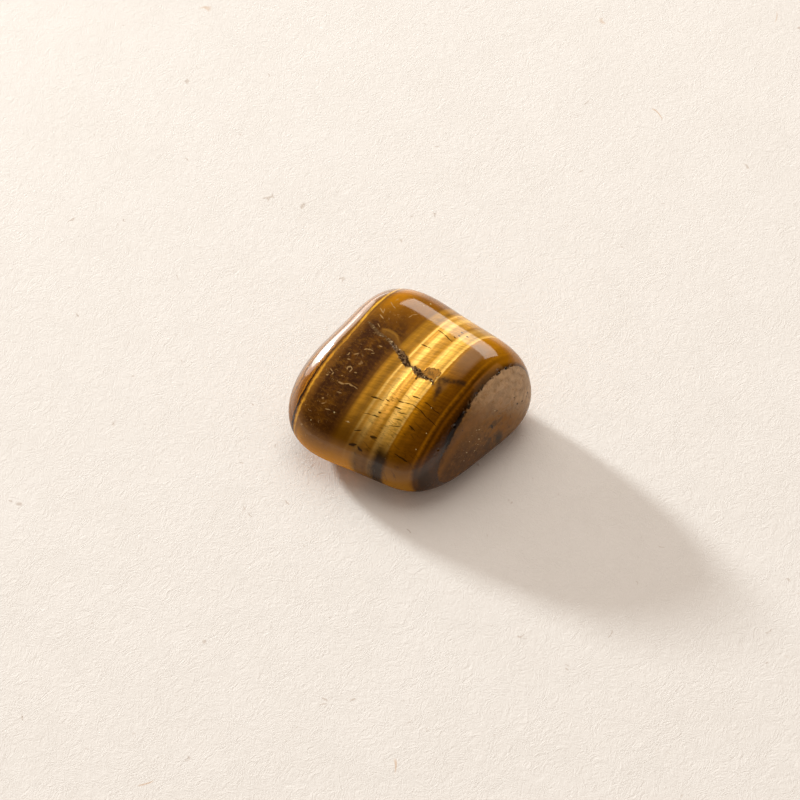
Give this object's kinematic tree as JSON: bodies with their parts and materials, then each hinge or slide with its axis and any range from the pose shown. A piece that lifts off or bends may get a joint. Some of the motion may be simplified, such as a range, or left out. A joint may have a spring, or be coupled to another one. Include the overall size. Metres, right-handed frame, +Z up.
{
  "type": "tumbled tiger's eye stone",
  "caption": "Rounded, polished block of banded brown and gold quartz, a loose ornamental stone that rests on a small flat underneath.",
  "frame": {"origin": "on the surface it rests on, under the middle of the stone's outline", "axes": "+X along the bands, towards the higher end; +Y across the bands, away from the plain brown side; +Z up"},
  "size_m": [0.0246, 0.0242, 0.0134],
  "materials": {
    "polished_tiger_eye": "high polish over silky gold and brown bands, with one plain brown side"
  },
  "bodies": {
    "root": {"tiger_eye_stone": "polished_tiger_eye"}
  },
  "joints": []
}
